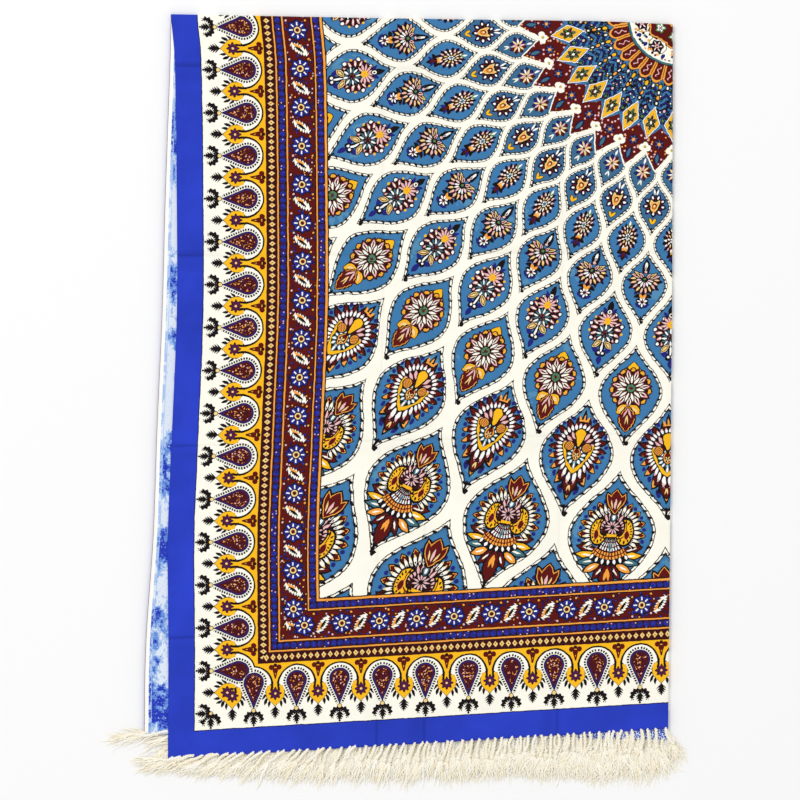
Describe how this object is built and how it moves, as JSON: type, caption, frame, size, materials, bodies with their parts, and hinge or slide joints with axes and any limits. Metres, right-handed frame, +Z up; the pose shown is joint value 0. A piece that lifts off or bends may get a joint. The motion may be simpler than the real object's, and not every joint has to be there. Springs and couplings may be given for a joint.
{
  "type": "kalamkari tablecloth",
  "caption": "Block-printed cotton tablecloth with a knotted fringe at both ends, folded into quarters and laid flat.",
  "frame": {"origin": "middle of the base of the folded cloth's bounding box", "axes": "+Y runs up the folded cloth's long side from the fringes to the top fold, +X towards its right-hand fold, +Z up out of the surface it lies on"},
  "size_m": [0.8022, 1.0952, 0.009],
  "materials": {
    "printed_cotton": "matte plain-woven cotton, block-printed in blue, maroon, black and yellow on cream",
    "cotton_yarn": "undyed cotton warp yarn, twisted at the hem and unravelled below"
  },
  "bodies": {
    "root": {"cloth": "printed_cotton", "fringe_upper": "cotton_yarn", "fringe_lower": "cotton_yarn"}
  },
  "joints": []
}
